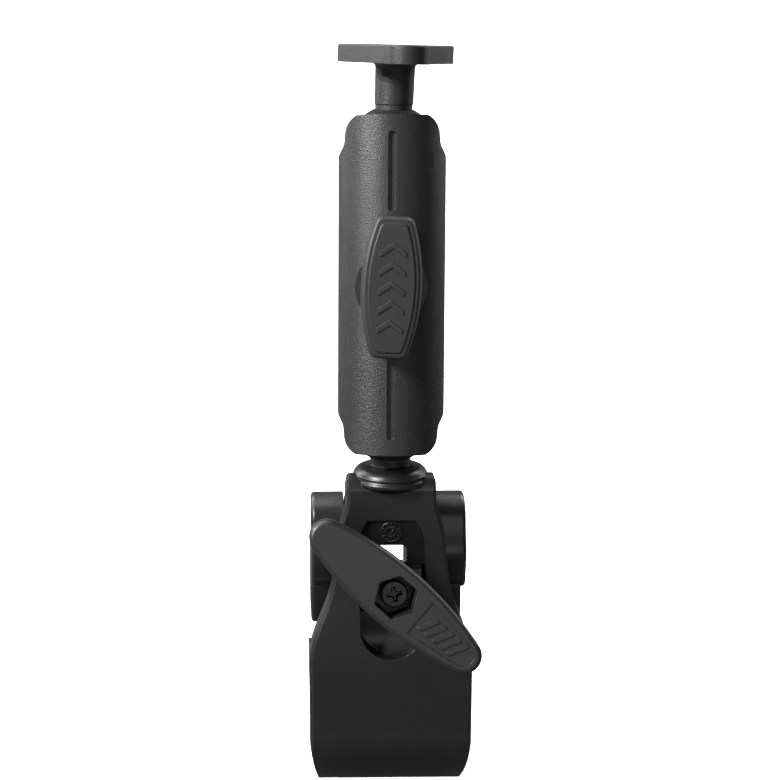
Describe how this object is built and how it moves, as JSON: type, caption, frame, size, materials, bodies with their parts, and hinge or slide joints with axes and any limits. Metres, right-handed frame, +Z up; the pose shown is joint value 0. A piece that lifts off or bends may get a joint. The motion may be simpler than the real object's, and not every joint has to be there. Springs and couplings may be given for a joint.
{
  "type": "phone handlebar mount",
  "caption": "Double-ball arm mount that clamps on a handlebar and carries a drilled diamond plate for a phone holder.",
  "frame": {"origin": "centre of the clamped bar's bore, on its axis", "axes": "+X along the bar, +Z up the mount from the bar to the plate, -Y towards the lever and the knob"},
  "size_m": [0.0468, 0.0716, 0.2141],
  "materials": {
    "jaw_plastic": "satin moulded, with a fine grain",
    "arm_plastic": "satin moulded, with a coarse speckle",
    "handle_plastic": "smooth satin moulded",
    "head_plastic": "satin moulded, with a fine grain",
    "rubber": "matte moulded rubber",
    "black_steel": "black oxide, slightly glossy",
    "bright_steel": "zinc plated, turned",
    "spring_steel": "drawn wire"
  },
  "bodies": {
    "clamp_base": {"front_jaw": "jaw_plastic", "front_pad": "rubber"},
    "rear_jaw": {"rear_jaw": "jaw_plastic", "rear_pad": "rubber", "hinge_pin": "black_steel"},
    "nut": {"barrel_nut": "bright_steel"},
    "spindle_seat": {"seat_rocker": "bright_steel", "thrust_washer": "bright_steel"},
    "spindle": {"clamp_spindle": "bright_steel", "spindle_stop_ring": "spring_steel", "lever_screw": "black_steel", "lever_spring": "spring_steel"},
    "lever": {"clamp_lever": "handle_plastic"},
    "lower_ball": {"lower_ball_cover": "rubber"},
    "arm": {"arm_rear_shell": "arm_plastic", "arm_nut": "bright_steel", "arm_spring": "spring_steel"},
    "arm_front": {"arm_front_shell": "arm_plastic", "arm_washer": "black_steel"},
    "arm_knob": {"arm_knob": "handle_plastic", "arm_stud": "bright_steel"},
    "upper_ball": {"upper_ball_cover": "rubber"},
    "head": {"head_plate": "head_plastic"}
  },
  "joints": [
    {"name": "lever_turn", "type": "hinge", "parent": "spindle_seat", "child": "spindle", "pos_m": [0, -0.0145, 0.0437], "axis": [0, -0.9781, 0.2079], "range_deg": [-421, 2632]},
    {"name": "rear_jaw_swing", "type": "hinge", "parent": "clamp_base", "child": "rear_jaw", "pos_m": [0, 0, 0.0595], "axis": [1, 0, 0], "range_deg": [-4.01, 25.01]},
    {"name": "barrel_nut_turn", "type": "hinge", "parent": "rear_jaw", "child": "nut", "pos_m": [0, 0.016, 0.03722], "axis": [1, 0, 0], "range_deg": [-9.6, 1.6]},
    {"name": "spindle_swivel", "type": "hinge", "parent": "clamp_base", "child": "spindle_seat", "pos_m": [0, -0.0145, 0.0437], "axis": [1, 0, 0], "range_deg": [-2.6, 15.7]},
    {"name": "lever_lift", "type": "slide", "parent": "spindle", "child": "lever", "axis": [0, -0.9781, 0.2079], "range_m": [0, 0.0023], "stiffness_N_per_m": 800, "springref_m": -0.002, "deforming": ["lever_spring"]},
    {"name": "arm_swivel", "type": "hinge", "parent": "clamp_base", "child": "lower_ball", "pos_m": [0, -0.012, 0.0929], "axis": [0, 0, 1], "continuous": true},
    {"name": "arm_tilt", "type": "hinge", "parent": "lower_ball", "child": "arm", "pos_m": [0, -0.012, 0.0929], "axis": [0.9976, -0.0698, 0], "range_deg": [-9, 23]},
    {"name": "arm_knob_turn", "type": "hinge", "parent": "arm_front", "child": "arm_knob", "pos_m": [0.00031, -0.0075, 0.12962], "axis": [-0.0692, -0.9901, 0.1219], "range_deg": [0, 540]},
    {"name": "arm_release", "type": "slide", "parent": "arm", "child": "arm_front", "axis": [-0.0692, -0.9901, 0.1219], "range_m": [0, 0.0015]},
    {"name": "head_tilt", "type": "hinge", "parent": "arm", "child": "upper_ball", "pos_m": [0.00063, -0.003, 0.16635], "axis": [0.9976, -0.0698, 0], "range_deg": [-26, 12]},
    {"name": "head_swivel", "type": "hinge", "parent": "upper_ball", "child": "head", "pos_m": [0.00063, -0.003, 0.16635], "axis": [0.0297, 0, 0.9996], "continuous": true}
  ],
  "couplings": [
    {"joint": "rear_jaw_swing", "follows": "lever_turn", "ratio": 0.0094985},
    {"joint": "barrel_nut_turn", "follows": "lever_turn", "ratio": -0.0035999},
    {"joint": "spindle_swivel", "follows": "lever_turn", "ratio": 0.0058986},
    {"joint": "arm_knob_turn", "follows": "arm_release", "rad_per_m": 6283}
  ]
}
